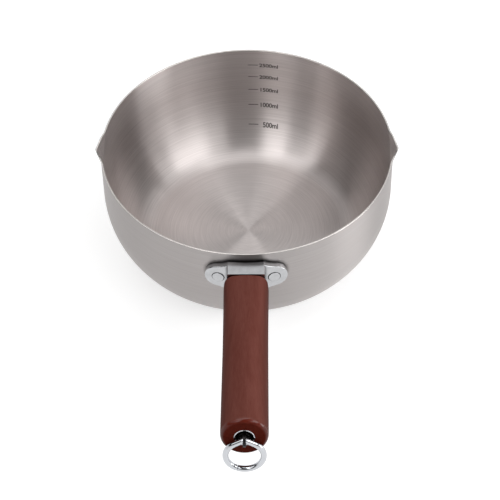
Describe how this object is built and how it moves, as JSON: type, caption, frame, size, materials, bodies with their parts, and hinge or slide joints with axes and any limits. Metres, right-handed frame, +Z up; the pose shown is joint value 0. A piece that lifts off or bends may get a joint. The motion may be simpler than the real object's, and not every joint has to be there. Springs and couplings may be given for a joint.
{
  "type": "milk pan",
  "caption": "Round deep milk pan with two pouring lips, a riveted bracket, a wooden handle and a swinging hanging ring.",
  "frame": {"origin": "centre of the flat underside of the base", "axes": "+Z up along the pan's axis, -Y towards the handle's end, X across, with a pouring lip on each side"},
  "size_m": [0.2288, 0.3877, 0.1065],
  "materials": {
    "pan_steel": "brushed round inside, satin outside",
    "bracket_steel": "satin",
    "lacquered_wood": "dark red lacquer",
    "rod_steel": "plain",
    "ring_chrome": "polished"
  },
  "bodies": {
    "pan": {"pan_body": "pan_steel", "handle_bracket": "bracket_steel", "bracket_rivets": "bracket_steel", "wooden_handle": "lacquered_wood", "tie_rod": "rod_steel", "cup_washer": "ring_chrome", "eye_nut": "ring_chrome"},
    "ring": {"hanging_ring": "ring_chrome"}
  },
  "joints": [
    {"name": "ring_hinge", "type": "hinge", "parent": "pan", "child": "ring", "pos_m": [0, -0.27186, 0.09141], "axis": [-1, 0, 0], "range_deg": [0, 180]}
  ]
}
